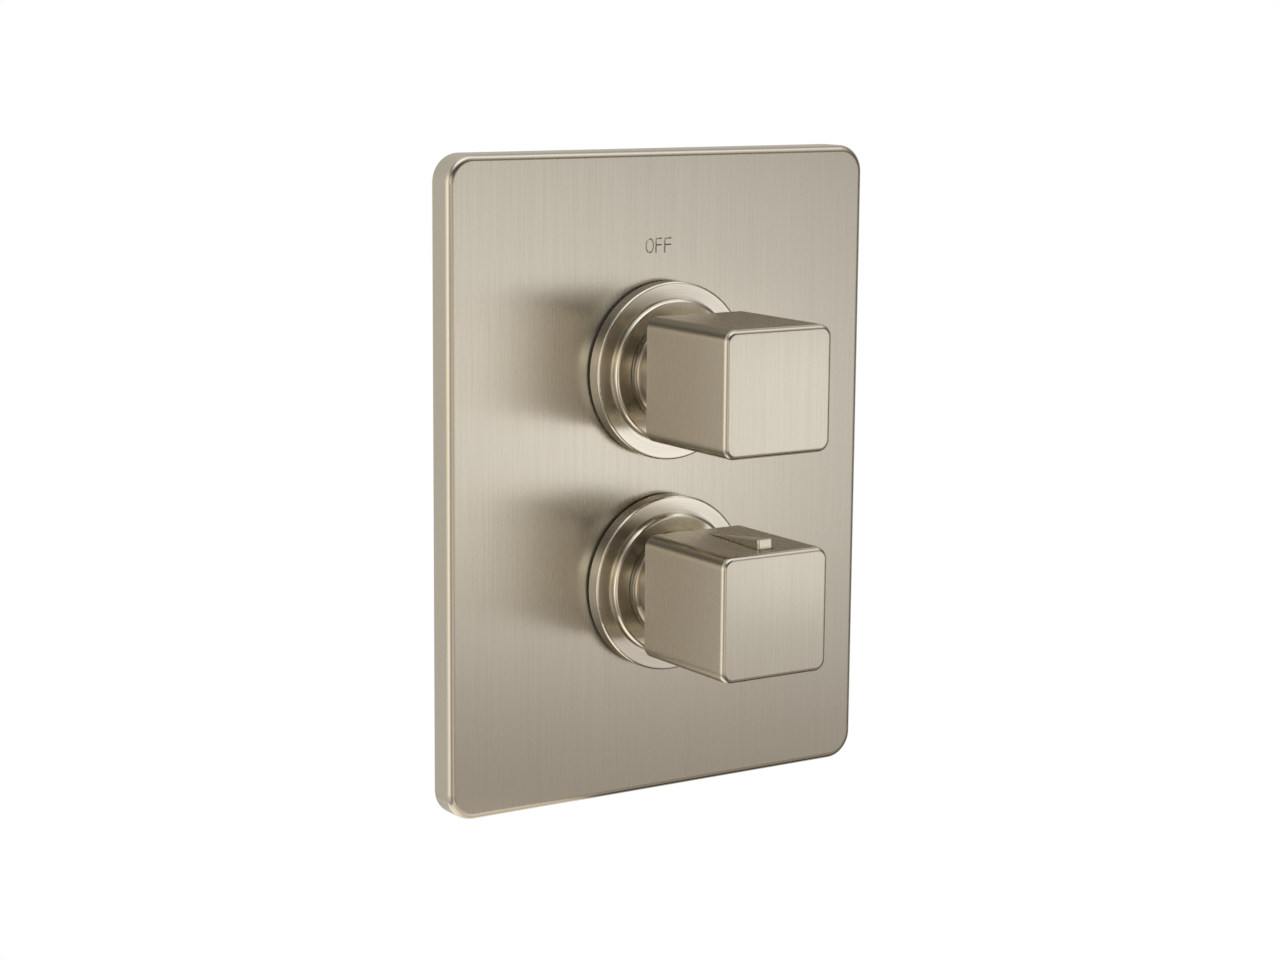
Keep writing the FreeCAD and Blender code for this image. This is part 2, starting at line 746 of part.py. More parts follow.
def make_stem_adapter(name, height):
    """Make the sleeve whose broached bore takes the valve stem."""
    body = new_body(name + "_stem_adapter", height)
    sleeve = new_sketch(body, PLAN)
    draw_outline(
        sleeve,
        [
            ("pilot_radius", "adapter_back"),
            ("adapter_radius", "adapter_back"),
            ("adapter_radius", "adapter_front"),
            ("0", "adapter_front"),
            ("0", "broach_front"),
            ("broach_radius", "broach_front"),
            ("broach_radius", "pilot_front"),
            ("pilot_radius", "pilot_front"),
        ],
    )
    revolve(body, sleeve)
    tooth = new_sketch(body, SECTION, "pilot_front")
    root = "broach_radius - broach_tooth"
    draw_outline(
        tooth,
        [
            ("-broach_half_tooth", root),
            ("broach_half_tooth", root),
            ("broach_half_tooth", "broach_radius"),
            ("0", "broach_radius + broach_tooth"),
            ("-broach_half_tooth", "broach_radius"),
        ],
    )
    cut = pocket(body, tooth, "broach_length")
    pattern = body.newObject("PartDesign::PolarPattern", body.Label + "_teeth")
    pattern.Originals = [cut]
    axis = next(item for item in body.Origin.OriginFeatures if item.Role == "Y_Axis")
    pattern.Axis = (axis, [""])
    pattern.Angle = FULL_TURN
    pattern.setExpression("Occurrences", bind("broach_teeth"))
    finish_feature(body, pattern)


def make_set_screw(name, height):
    """Make the grub screw that stands on the sleeve from below."""
    body = new_body(name + "_set_screw", height)
    shank = new_sketch(body, PLAN, "-adapter_radius")
    draw_circle(shank, ("0", "set_screw_depth"), "set_screw_radius")
    pad(body, shank, "set_screw_length", along=False)
    bevel_edges(body, "set_screw_bevel", at_height("-adapter_radius"))
    socket = new_sketch(body, PLAN, "-adapter_radius - set_screw_length")
    draw_hexagon(socket, ("0", "set_screw_depth"), "set_screw_socket")
    pocket(body, socket, "set_screw_socket_depth")


def make_override_button():
    """Make the wedge with the hidden beam that carries it on its pivot."""
    body = new_body("override_button", TEMPERATURE_HEIGHT)
    profile = new_sketch(body, SIDE)
    draw_outline(
        profile,
        [
            ("wedge_tip", "pivot_height"),
            ("wedge_front", "pivot_height"),
            ("wedge_front - wedge_draft", "wedge_top"),
            ("wedge_tip", "knob_top"),
        ],
    )
    pad(body, profile, "wedge_width", symmetric=True)
    taper = new_sketch(body, PLAN, "wedge_top + overrun")
    for side in ("", "-"):
        draw_outline(
            taper,
            [
                (f"{side}(wedge_tip_width / 2)", "wedge_tip"),
                (f"{side}(wedge_width / 2)", "wedge_front"),
                (f"{side}(wedge_width / 2 + overrun)", "wedge_front"),
                (f"{side}(wedge_width / 2 + overrun)", "wedge_tip - overrun"),
                (f"{side}(wedge_tip_width / 2)", "wedge_tip - overrun"),
            ],
        )
    pocket(body, taper, "wedge_top - pivot_height + 2 * overrun", along=False)
    knob_top = value("knob_top")

    def on_nose(edge):
        box = edge.BoundBox
        return box.ZMin < knob_top - SAME_PLACE and box.ZMax > knob_top + SAME_PLACE

    def on_top(edge):
        box = edge.BoundBox
        return box.ZMin > knob_top - SAME_PLACE and box.ZMax > knob_top + SAME_PLACE

    round_edges(body, "wedge_nose_radius", on_nose)
    round_edges(body, "wedge_edge_radius", on_top)
    beam = new_sketch(body, PLAN, "beam_bottom")
    draw_rectangle(beam, ("-beam_width / 2", "beam_back"), ("beam_width / 2", "beam_front"))
    pad(body, beam, "beam_thickness")
    post = new_sketch(body, PLAN, "pivot_height")
    draw_circle(post, ("0", "spring_depth"), "spring_radius - spring_wire / 2 - spring_clearance")
    pad(body, post, "beam_thickness / 2 + spring_post_length", along=False)
    pin_hole = new_sketch(body, SIDE)
    draw_circle(pin_hole, ("pivot_depth", "pivot_height"), "pin_radius + running_clearance")
    pocket(body, pin_hole, "beam_width + 2 * overrun", symmetric=True)
    rivet_hole = new_sketch(body, PLAN, "beam_bottom")
    draw_circle(rivet_hole, ("0", "rivet_depth"), "rivet_radius + seat_clearance")
    pocket(body, rivet_hole, "rivet_reach + seat_clearance")


def make_pivot_pin():
    """Make the pin that the wedge's beam rocks on."""
    pin = document.addObject("Part::Cylinder", "button_pivot_pin")
    pin.Label = "button_pivot_pin"
    sideways = FreeCAD.Rotation(FreeCAD.Vector(0, 1, 0), QUARTER_TURN)
    pin.Placement = FreeCAD.Placement(FreeCAD.Vector(), sideways)
    pin.setExpression("Radius", bind("pin_radius"))
    pin.setExpression("Height", bind("2 * ear_outside"))
    pin.setExpression("Placement.Base.x", bind("-ear_outside"))
    pin.setExpression("Placement.Base.y", bind("-pivot_depth"))
    pin.setExpression("Placement.Base.z", bind(f"{TEMPERATURE_HEIGHT} + pivot_height"))
    nodes.append(pin)


def make_tongue():
    """Make the bent strip under the beam, whose tail reaches the stop ring."""
    body = new_body("button_tongue", TEMPERATURE_HEIGHT)
    profile = new_sketch(body, SIDE)
    draw_outline(
        profile,
        [
            ("tongue_front", "beam_bottom"),
            ("tongue_front", "tongue_bottom"),
            ("beam_back + tongue_thickness", "tongue_bottom"),
            ("beam_back + tongue_thickness", "tail_bottom"),
            ("tail_back", "tail_bottom"),
            ("tail_back", "tail_top"),
            ("beam_back", "tail_top"),
            ("beam_back", "beam_bottom"),
        ],
    )
    pad(body, profile, "tongue_width", symmetric=True)
    hole = new_sketch(body, PLAN, "beam_bottom + overrun")
    draw_circle(hole, ("0", "rivet_depth"), "rivet_radius + seat_clearance")
    pocket(body, hole, "tongue_thickness + 2 * overrun", along=False)


def make_rivet():
    """Make the rivet that holds the strip under the beam."""
    body = new_body("tongue_rivet", TEMPERATURE_HEIGHT)
    head = new_sketch(body, PLAN, "tongue_bottom")
    draw_circle(head, ("0", "rivet_depth"), "rivet_head_radius")
    pad(body, head, "rivet_head_height", along=False)
    shank = new_sketch(body, PLAN, "tongue_bottom")
    draw_circle(shank, ("0", "rivet_depth"), "rivet_radius")
    pad(body, shank, "tongue_thickness + rivet_reach")


def biarc(start, start_way, end, end_way):
    """Join two points by two arcs that leave and arrive in the given directions."""
    across = end - start
    both = start_way + end_way
    bend = 2 * (start_way.dot(end_way) - 1)
    lean = across.dot(both)
    reach = (lean - math.sqrt(lean * lean - bend * across.dot(across))) / bend
    first_corner = start + start_way * reach
    last_corner = end - end_way * reach
    joint = (first_corner + last_corner) / 2
    arcs = []
    for arc_start, corner, arc_end in ((start, first_corner, joint), (joint, last_corner, end)):
        middle = (arc_start + arc_end) / 2
        half_chord = (arc_end - arc_start).Length / 2
        rise = corner - middle
        slope = math.atan2(rise.Length, half_chord)
        crown = middle + rise.normalize() * (half_chord * math.tan(slope / 2))
        arcs.append(Part.Arc(arc_start, crown, arc_end).toShape())
    return arcs


def make_spring():
    """Make the coil spring as one unbroken wire and print the least gap between its turns."""
    wire = value("spring_wire")
    radius = value("spring_radius")
    turns = value("spring_turns")
    low = value("spring_floor + spring_wire / 2 + spring_play")
    high = value("beam_bottom - spring_wire / 2 - spring_play")
    rise = (high - low) / (turns * math.tau)
    quarters = round(turns * QUARTERS)

    def place(angle):
        return FreeCAD.Vector(radius * math.cos(angle), radius * math.sin(angle), low + rise * angle)

    def way(angle):
        return FreeCAD.Vector(-radius * math.sin(angle), radius * math.cos(angle), rise).normalize()

    angles = [turns * math.tau * number / quarters for number in range(quarters + 1)]
    arcs = []
    for angle, following in zip(angles, angles[1:]):
        arcs += biarc(place(angle), way(angle), place(following), way(following))
    path = Part.Wire(arcs)
    section = Part.Wire(Part.Circle(place(0), way(0), wire / 2).toShape())
    shell = Part.BRepOffsetAPI.MakePipeShell(path)
    shell.add(section)
    shell.build()
    shell.makeSolid()
    spring = document.addObject("Part::Feature", "button_spring")
    spring.Label = "button_spring"
    spring.Shape = shell.shape()
    axis = FreeCAD.Vector(0, -value("spring_depth"), value(TEMPERATURE_HEIGHT))
    spring.Placement = FreeCAD.Placement(axis, FreeCAD.Rotation())
    nodes.append(spring)
    pitches = [(place(above) - place(below)).Length for below, above in zip(angles, angles[QUARTERS:])]
    print(f"least gap between the spring's turns: {min(pitches) - wire:.2f} mm")


def make_handle(name, height):
    """Make the pieces that the two handles have alike."""
    make_collar(name, height)
    make_collar_fittings(name, height)
    make_hub(name, height)
    make_hub_screws(name, height)
    make_hub_oring(name, height)
    make_stem_adapter(name, height)
    make_set_screw(name, height)
    return make_knob(name, height)


def check_document():
    """Stop if any object failed or any sub-part has no sound shape."""
    document.recompute()
    for item in document.Objects:
        if "Invalid" in item.State or "Error" in item.State:
            raise ValueError(f"{item.Label} failed: {item.State}")
    for node in nodes:
        if node.Shape.isNull() or not node.Shape.isValid() or not node.Shape.Solids:
            raise ValueError(f"{node.Label} has no sound shape")


make_face_plate()
make_wall_gasket()
make_handle("volume", VOLUME_HEIGHT)
make_ring("volume_spacer_ring", VOLUME_HEIGHT, "hub_bore", "bush_outside", "ring_back", "ring_front")
temperature_knob = make_handle("temperature", TEMPERATURE_HEIGHT)
cut_button_seat(temperature_knob)
make_stop_ring()
make_override_button()
make_pivot_pin()
make_tongue()
make_rivet()
make_spring()
check_document()

os.makedirs("parts", exist_ok=True)
for node in nodes:
    node.Shape.exportStep(f"parts/{node.Label}.step")
print(f"wrote {len(nodes)} sub-parts")
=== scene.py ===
"""Looks of a two-handle shower valve trim: a brushed nickel plate, stepped collars and square knobs."""
import json
import logging
import math
from dataclasses import dataclass
from enum import Enum, IntEnum
from typing import Any

import bpy
from mathutils import Matrix, Vector


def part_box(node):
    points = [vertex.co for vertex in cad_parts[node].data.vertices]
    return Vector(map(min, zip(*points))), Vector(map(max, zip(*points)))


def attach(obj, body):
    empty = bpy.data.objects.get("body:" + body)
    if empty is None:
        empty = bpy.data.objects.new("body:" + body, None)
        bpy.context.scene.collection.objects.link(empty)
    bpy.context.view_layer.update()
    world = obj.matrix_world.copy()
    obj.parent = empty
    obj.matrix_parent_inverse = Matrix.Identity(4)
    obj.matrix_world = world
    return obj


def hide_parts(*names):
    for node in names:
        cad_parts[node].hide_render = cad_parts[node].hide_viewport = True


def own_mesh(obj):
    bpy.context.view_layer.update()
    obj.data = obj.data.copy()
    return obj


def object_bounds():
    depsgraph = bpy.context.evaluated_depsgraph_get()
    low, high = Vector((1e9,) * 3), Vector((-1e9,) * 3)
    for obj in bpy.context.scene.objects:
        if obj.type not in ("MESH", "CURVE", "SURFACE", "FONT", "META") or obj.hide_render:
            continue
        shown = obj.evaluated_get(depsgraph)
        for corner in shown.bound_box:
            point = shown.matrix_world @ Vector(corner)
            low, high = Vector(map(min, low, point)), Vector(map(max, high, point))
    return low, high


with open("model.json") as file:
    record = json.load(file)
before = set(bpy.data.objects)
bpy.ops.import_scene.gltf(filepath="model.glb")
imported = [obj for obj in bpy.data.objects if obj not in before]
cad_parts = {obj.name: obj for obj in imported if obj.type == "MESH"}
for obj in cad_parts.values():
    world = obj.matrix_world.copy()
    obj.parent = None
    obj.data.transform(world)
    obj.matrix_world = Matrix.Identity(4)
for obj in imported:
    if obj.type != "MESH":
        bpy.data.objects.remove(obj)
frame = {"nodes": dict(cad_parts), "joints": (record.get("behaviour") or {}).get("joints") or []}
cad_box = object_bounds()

LOG = logging.getLogger("shower_valve_trim")

# Sizes below are in millimetres, and Blender works in metres
MM = 0.001
PHOTO_WIDTH = 1280

# The sRGB curve is straight near black and a power law above
FULL_BYTE = 255
STRAIGHT_UP_TO = 0.04045
STRAIGHT_SLOPE = 12.92
CURVE_OFFSET = 0.055
CURVE_POWER = 2.4


class Grain(Enum):
    """Which way the finishing marks run on a metal piece."""

    UPRIGHT = "ground from top to bottom, and from back to front on level faces"
    TURNED = "cut on a lathe, in rings about a handle's axis"


class MixSocket(IntEnum):
    """The inputs of a mix node by number, because their names repeat for each kind of value."""

    SHARE = 0
    FLOAT_A = 2
    FLOAT_B = 3
    VECTOR_A = 4
    VECTOR_B = 5
    COLOUR_A = 6
    COLOUR_B = 7


class MixResult(IntEnum):
    """The outputs of a mix node by number, for the same reason."""

    FLOAT = 0
    VECTOR = 1
    COLOUR = 2


def linear(hex_colour: str) -> tuple[float, float, float, float]:
    """Turn an sRGB hex colour into linear light.

    Args:
        hex_colour: six hex digits after a hash mark.

    Returns:
        Red, green, blue and an alpha of one.
    """
    channels = []
    for start in (1, 3, 5):
        share = int(hex_colour[start:start + 2], 16) / FULL_BYTE
        if share <= STRAIGHT_UP_TO:
            channels.append(share / STRAIGHT_SLOPE)
        else:
            channels.append(((share + CURVE_OFFSET) / (1 + CURVE_OFFSET)) ** CURVE_POWER)
    return (*channels, 1.0)


def add_node(
    tree: bpy.types.NodeTree,
    kind: str,
    settings: dict[str | int, Any] | None = None,
    links: dict[str | int, bpy.types.NodeSocket] | None = None,
) -> bpy.types.Node:
    """Add a node, set its options and sockets, and link other sockets to it.

    Args:
        tree: the node tree that gets the node.
        kind: Blender's name for the node.
        settings: values by option name, or by socket name or number.
        links: source sockets by the name or number of the socket they feed.

    Returns:
        The new node.
    """
    node = tree.nodes.new(kind)
    for key, value in (settings or {}).items():
        if isinstance(key, str) and hasattr(node, key):
            setattr(node, key, value)
        else:
            node.inputs[key].default_value = value
    for key, socket in (links or {}).items():
        tree.links.new(socket, node.inputs[key])
    return node


def mirror_rays(tree: bpy.types.NodeTree, path: bpy.types.Node) -> bpy.types.NodeSocket:
    """Pick the rays that left a shiny face or passed through a clear one.

    Args:
        tree: the node tree that asks.
        path: its light path node.

    Returns:
        A socket that gives 1 for those rays and 0 for the rest.
    """
    mirrored = add_node(
        tree,
        "ShaderNodeMath",
        {"operation": "MAXIMUM"},
        {0: path.outputs["Is Glossy Ray"], 1: path.outputs["Is Transmission Ray"]},
    )
    return mirrored.outputs[0]


def new_material(name: str) -> bpy.types.Material:
    """Make an empty node material.

    Args:
        name: what the material is called.

    Returns:
        The material, with no node in it yet.
    """
    material = bpy.data.materials.new(name)
    material.use_nodes = True
    material.node_tree.nodes.clear()
    return material


def dress(piece: bpy.types.Object, material: bpy.types.Material) -> None:
    """Give every material slot of a piece one material.

    Args:
        piece: the mesh to dress.
        material: its finish.
    """
    if not piece.material_slots:
        piece.data.materials.append(material)
    for slot in piece.material_slots:
        slot.material = material


def dress_node(name: str, material: bpy.types.Material) -> None:
    """Give a solid of the frame its finish and log it."""
    dress(frame["nodes"][name], material)
    LOG.info("%s wears %s", name, material.name)


def deselect_all() -> None:
    """Clear the selection, so that the next operator acts on the new piece alone."""
    for piece in list(bpy.context.selected_objects):
        piece.select_set(False)
    bpy.context.view_layer.objects.active = None


@dataclass(frozen=True)
class BrushedMetal:
    """A metal whose surface keeps the fine lines of a belt or of a lathe tool.

    Each line mirrors its surroundings sharply along itself and smears them across itself. The eye
    sees broad soft streaks of light across the grain, and faint hair lines along it. Rounded edges
    can have a polish of their own, and the round sides of turned pieces can take a darker colour
    that is painted shade.
    """

    name: str
    pale: str
    dark: str
    roughness: float
    roughness_swing: float
    anisotropy: float
    line_width: float
    line_length: float
    line_depth: float
    grain: Grain
    axis_height: float = 0.0
    fine_detail: float = 3.0
    fine_breakup: float = 0.65
    coarse_share: float = 0.28
    coarse_detail: float = 2.0
    coarse_breakup: float = 0.5
    coarse_weight: float = 0.3
    tone_from: float = 0.34
    tone_to: float = 0.66
    level_from: float = 0.35
    edge_from: float = 0.9
    flat_from: float = 0.99
    edge_roughness: float | None = None
    side: str | None = None

    def material(self) -> bpy.types.Material:
        """Build the finish.

        Returns:
            A material whose smear runs square to the grain on every face.
        """
        material = new_material(self.name)
        tree = material.node_tree
        place = add_node(tree, "ShaderNodeTexCoord")
        if self.grain is Grain.UPRIGHT:
            groove, lines = self.upright_lines(tree, place)
        else:
            groove, lines = self.turned_lines(tree, place)
        across = add_node(
            tree,
            "ShaderNodeVectorMath",
            {"operation": "CROSS_PRODUCT"},
            {0: groove, 1: place.outputs["Normal"]},
        )
        smear = add_node(
            tree,
            "ShaderNodeVectorTransform",
            {"vector_type": "VECTOR", "convert_from": "OBJECT", "convert_to": "WORLD"},
            {0: across.outputs[0]},
        )
        fine = add_node(
            tree,
            "ShaderNodeTexNoise",
            {"Scale": 1.0, "Detail": self.fine_detail, "Roughness": self.fine_breakup},
            {"Vector": lines},
        )
        coarse = add_node(
            tree,
            "ShaderNodeTexNoise",
            {"Scale": self.coarse_share, "Detail": self.coarse_detail, "Roughness": self.coarse_breakup},
            {"Vector": lines},
        )
        both = add_node(
            tree,
            "ShaderNodeMix",
            {"data_type": "FLOAT", MixSocket.SHARE: self.coarse_weight},
            {MixSocket.FLOAT_A: fine.outputs[0], MixSocket.FLOAT_B: coarse.outputs[0]},
        )
        shade = add_node(
            tree,
            "ShaderNodeMapRange",
            {"From Min": self.tone_from, "From Max": self.tone_to},
            {"Value": both.outputs[MixResult.FLOAT]},
        )
        colour = add_node(
            tree,
            "ShaderNodeMix",
            {
                "data_type": "RGBA",
                MixSocket.COLOUR_A: linear(self.dark),
                MixSocket.COLOUR_B: linear(self.pale),
            },
            {MixSocket.SHARE: shade.outputs[0]},
        )
        polish = add_node(
            tree,
            "ShaderNodeMapRange",
            {
                "To Min": self.roughness + self.roughness_swing,
                "To Max": self.roughness - self.roughness_swing,
            },
            {"Value": shade.outputs[0]},
        )
        if self.edge_roughness is not None:
            flat = self.flat_share(tree, place)
            polish = add_node(
                tree,
                "ShaderNodeMix",
                {"data_type": "FLOAT", MixSocket.FLOAT_A: self.edge_roughness},
                {MixSocket.SHARE: flat, MixSocket.FLOAT_B: polish.outputs[0]},
            )
        # Painted shade: the round sides take a darker colour of their own
        if self.side is not None:
            flat = self.flat_share(tree, place)
            colour = add_node(
                tree,
                "ShaderNodeMix",
                {"data_type": "RGBA", MixSocket.COLOUR_A: linear(self.side)},
                {MixSocket.SHARE: flat, MixSocket.COLOUR_B: colour.outputs[MixResult.COLOUR]},
            )
        bump = add_node(
            tree,
            "ShaderNodeBump",
            {"Strength": 1.0, "Distance": self.line_depth * MM},
            {"Height": both.outputs[0]},
        )
        shader = add_node(
            tree,
            "ShaderNodeBsdfPrincipled",
            {"Metallic": 1.0, "Anisotropic": self.anisotropy},
            {
                "Base Color": colour.outputs[MixResult.COLOUR],
                "Roughness": polish.outputs[0],
                "Normal": bump.outputs[0],
                "Tangent": smear.outputs[0],
            },
        )
        add_node(tree, "ShaderNodeOutputMaterial", None, {"Surface": shader.outputs[0]})
        return material

    def flat_share(self, tree: bpy.types.NodeTree, place: bpy.types.Node) -> bpy.types.NodeSocket:
        """Tell the flat faces from the rounded edges and round sides.

        A turned piece is flat where it faces the front, and a ground one where it faces along any axis.

        Args:
            tree: the material's node tree.
            place: its texture coordinate node.

        Returns:
            A socket that gives 1 on flat faces and 0 elsewhere.
        """
        size = add_node(
            tree, "ShaderNodeVectorMath", {"operation": "ABSOLUTE"}, {0: place.outputs["Normal"]}
        )
        facing = add_node(tree, "ShaderNodeSeparateXYZ", None, {0: size.outputs[0]})
        flat = facing.outputs["Y"]
        if self.grain is Grain.UPRIGHT:
            for side in (facing.outputs["X"], facing.outputs["Z"]):
                larger = add_node(tree, "ShaderNodeMath", {"operation": "MAXIMUM"}, {0: flat, 1: side})
                flat = larger.outputs[0]
        share = add_node(
            tree,
            "ShaderNodeMapRange",
            {"From Min": self.edge_from, "From Max": self.flat_from},
            {"Value": flat},
        )
        return share.outputs[0]

    def upright_lines(
        self, tree: bpy.types.NodeTree, place: bpy.types.Node
    ) -> tuple[bpy.types.NodeSocket, bpy.types.NodeSocket]:
        """Run the grain up the standing faces, and from back to front on level ones.

        Args:
            tree: the material's node tree.
            place: its texture coordinate node.

        Returns:
            The direction of the grooves, and the place in units of one line.
        """
        thin = 1 / (self.line_width * MM)
        long = 1 / (self.line_length * MM)
        facing = add_node(tree, "ShaderNodeSeparateXYZ", None, {0: place.outputs["Normal"]})
        steep = add_node(tree, "ShaderNodeMath", {"operation": "ABSOLUTE"}, {0: facing.outputs["Z"]})
        level = add_node(
            tree,
            "ShaderNodeMath",
            {"operation": "GREATER_THAN", 1: self.level_from},
            {0: steep.outputs[0]},
        )
        groove = add_node(
            tree,
            "ShaderNodeMix",
            {"data_type": "VECTOR", MixSocket.VECTOR_A: (0, 0, 1), MixSocket.VECTOR_B: (0, 1, 0)},
            {MixSocket.SHARE: level.outputs[0]},
        )
        pitch = add_node(
            tree,
            "ShaderNodeMix",
            {
                "data_type": "VECTOR",
                MixSocket.VECTOR_A: (thin, thin, long),
                MixSocket.VECTOR_B: (thin, long, thin),
            },
            {MixSocket.SHARE: level.outputs[0]},
        )
        lines = add_node(
            tree,
            "ShaderNodeVectorMath",
            {"operation": "MULTIPLY"},
            {0: place.outputs["Object"], 1: pitch.outputs[MixResult.VECTOR]},
        )
        return groove.outputs[MixResult.VECTOR], lines.outputs[0]

    def turned_lines(
        self, tree: bpy.types.NodeTree, place: bpy.types.Node
    ) -> tuple[bpy.types.NodeSocket, bpy.types.NodeSocket]:
        """Run the grain in rings about the handle's axis.

        Args:
            tree: the material's node tree.
            place: its texture coordinate node.

        Returns:
            The direction of the grooves, and the place in units of one line.
        """
        thin = 1 / (self.line_width * MM)
        turn_share = self.line_width / self.line_length
        centred = add_node(
            tree,
            "ShaderNodeMapping",
            {"Location": (0, 0, -self.axis_height * MM)},
            {"Vector": place.outputs["Object"]},
        )
        groove = add_node(
            tree,
            "ShaderNodeVectorMath",
            {"operation": "CROSS_PRODUCT", 0: (0, 1, 0)},
            {1: centred.outputs[0]},
        )
        arm = add_node(
            tree, "ShaderNodeVectorMath", {"operation": "MULTIPLY", 1: (1, 0, 1)}, {0: centred.outputs[0]}
        )
        reach = add_node(tree, "ShaderNodeVectorMath", {"operation": "LENGTH"}, {0: arm.outputs[0]})
        depth = add_node(tree, "ShaderNodeSeparateXYZ", None, {0: centred.outputs[0]})
        ring = add_node(
            tree, "ShaderNodeCombineXYZ", None, {"X": reach.outputs["Value"], "Y": depth.outputs["Y"]}
        )
        slow = add_node(
            tree,
            "ShaderNodeVectorMath",
            {"operation": "MULTIPLY_ADD", 1: (0, 0, turn_share)},
            {0: arm.outputs[0], 2: ring.outputs[0]},
        )
        lines = add_node(
            tree, "ShaderNodeVectorMath", {"operation": "SCALE", "Scale": thin}, {0: slow.outputs[0]}
        )
        return groove.outputs[0], lines.outputs[0]


@dataclass(frozen=True)
class MottledFinish:
    """A moulded or cut material that is not metal: rubber, nylon or foam.

    Its colour wanders a little between two tones, and a fine grain breaks up its shine.
    """

    name: str
    pale: str
    dark: str
    roughness: float
    ior: float
    grain_size: float
    grain_depth: float
    grain_detail: float = 3.0
    tone_from: float = 0.2
    tone_to: float = 0.8
    subsurface: float = 0.0
    subsurface_reach: float = 1.0
    cells: bool = False

    def material(self) -> bpy.types.Material:
        """Build the finish.

        Returns:
            A material with a speckled colour and a grain of the real size.
        """
        material = new_material(self.name)
        tree = material.node_tree
        place = add_node(tree, "ShaderNodeTexCoord")
        pitch = 1 / (self.grain_size * MM)
        if self.cells:
            grain = add_node(
                tree, "ShaderNodeTexVoronoi", {"Scale": pitch}, {"Vector": place.outputs["Object"]}
            )
        else:
            grain = add_node(
                tree,
                "ShaderNodeTexNoise",
                {"Scale": pitch, "Detail": self.grain_detail},
                {"Vector": place.outputs["Object"]},
            )
        shade = add_node(
            tree,
            "ShaderNodeMapRange",
            {"From Min": self.tone_from, "From Max": self.tone_to},
            {"Value": grain.outputs[0]},
        )
        colour = add_node(
            tree,
            "ShaderNodeMix",
            {
                "data_type": "RGBA",
                MixSocket.COLOUR_A: linear(self.dark),
                MixSocket.COLOUR_B: linear(self.pale),
            },
            {MixSocket.SHARE: shade.outputs[0]},
        )
        bump = add_node(
            tree,
            "ShaderNodeBump",
            {"Strength": 1.0, "Distance": self.grain_depth * MM},
            {"Height": grain.outputs[0]},
        )
        shader = add_node(
            tree,
            "ShaderNodeBsdfPrincipled",
            {
                "Roughness": self.roughness,
                "IOR": self.ior,
                "Subsurface Weight": self.subsurface,
                "Subsurface Scale": self.subsurface_reach * MM,
            },
            {"Base Color": colour.outputs[MixResult.COLOUR], "Normal": bump.outputs[0]},
        )
        add_node(tree, "ShaderNodeOutputMaterial", None, {"Surface": shader.outputs[0]})
        return material


# Nickel plate on brass, ground upright with a fine belt: warm grey, streaked sideways by the light.
# A real line is about 0.1 mm wide. It is drawn wider here so that it shows in the picture.
BRUSHED_NICKEL = BrushedMetal(
    name="brushed_nickel",
    pale="#DAD4C6",
    dark="#D3CDBF",
    roughness=0.27,
    roughness_swing=0.01,
    anisotropy=0.75,
    line_width=0.16,
    line_length=22,
    line_depth=0.00015,
    grain=Grain.UPRIGHT,
    edge_roughness=0.19,
)

# The same plating over ground that an etching acid has eaten dull: greyer, with no streaks.
ETCHED_NICKEL = BrushedMetal(
    name="etched_nickel",
    pale="#D0C8B9",
    dark="#C4BBAC",
    roughness=0.38,
    roughness_swing=0.04,
    anisotropy=0.2,
    line_width=0.3,
    line_length=0.6,
    line_depth=0.003,
    grain=Grain.UPRIGHT,
)


def turned_nickel(name: str, axis_height: float, side: str | None = None) -> BrushedMetal:
    """Give the lathe-turned nickel of the round pieces: bright rims, and fans of light on flat rings.

    Args:
        name: the piece's own name for the finish.
        axis_height: height of the handle's axis, in millimetres.
        side: a darker colour for the round sides, painted shade, where it is not that of the flat rings.

    Returns:
        The finish, centred on that axis.
    """
    return BrushedMetal(
        name=name,
        pale="#F0EADC",
        dark="#E6E0D2",
        roughness=0.22,
        roughness_swing=0.015,
        anisotropy=0.6,
        line_width=0.2,
        line_length=40,
        line_depth=0.0002,
        grain=Grain.TURNED,
        axis_height=axis_height,
        edge_roughness=0.12,
        side=side,
    )


def turned_brass(name: str, axis_height: float) -> BrushedMetal:
    """Give the bare yellow brass of the stem adapters, with its lathe rings.

    Args:
        name: the piece's own name for the finish.
        axis_height: height of the handle's axis, in millimetres.

    Returns:
        The finish, centred on that axis.
    """
    return BrushedMetal(
        name=name,
        pale="#D9B877",
        dark="#C4A05C",
        roughness=0.32,
        roughness_swing=0.05,
        anisotropy=0.5,
        line_width=0.4,
        line_length=30,
        line_depth=0.004,
        grain=Grain.TURNED,
        axis_height=axis_height,
    )


# Cold-drawn spring steel: dark grey, with the draw marks of the die along it.
SPRING_STEEL = BrushedMetal(
    name="spring_steel",
    pale="#A9A8A6",
    dark="#8C8B89",
    roughness=0.36,
    roughness_swing=0.05,
    anisotropy=0.4,
    line_width=0.2,
    line_length=4,
    line_depth=0.002,
    grain=Grain.UPRIGHT,
)

# Plain stainless screws: cool, bright, lightly tumbled.
STAINLESS_STEEL = BrushedMetal(
    name="stainless_steel",
    pale="#CFCFCD",
    dark="#B9B9B7",
    roughness=0.28,
    roughness_swing=0.05,
    anisotropy=0.3,
    line_width=0.25,
    line_length=1,
    line_depth=0.003,
    grain=Grain.UPRIGHT,
)

# Moulded nitrile rubber: nearly black, with a dull skin.
BLACK_RUBBER = MottledFinish(
    name="black_rubber",
    pale="#17140F",
    dark="#0D0B08",
    roughness=0.75,
    ior=1.52,
    grain_size=0.35,
    grain_depth=0.02,
)

# Moulded natural nylon: milky white, slightly see-through at its edges.
WHITE_NYLON = MottledFinish(
    name="white_nylon",
    pale="#EDEAE1",
    dark="#E2DED3",
    roughness=0.42,
    ior=1.53,
    grain_size=0.8,
    grain_depth=0.01,
    subsurface=0.15,
)

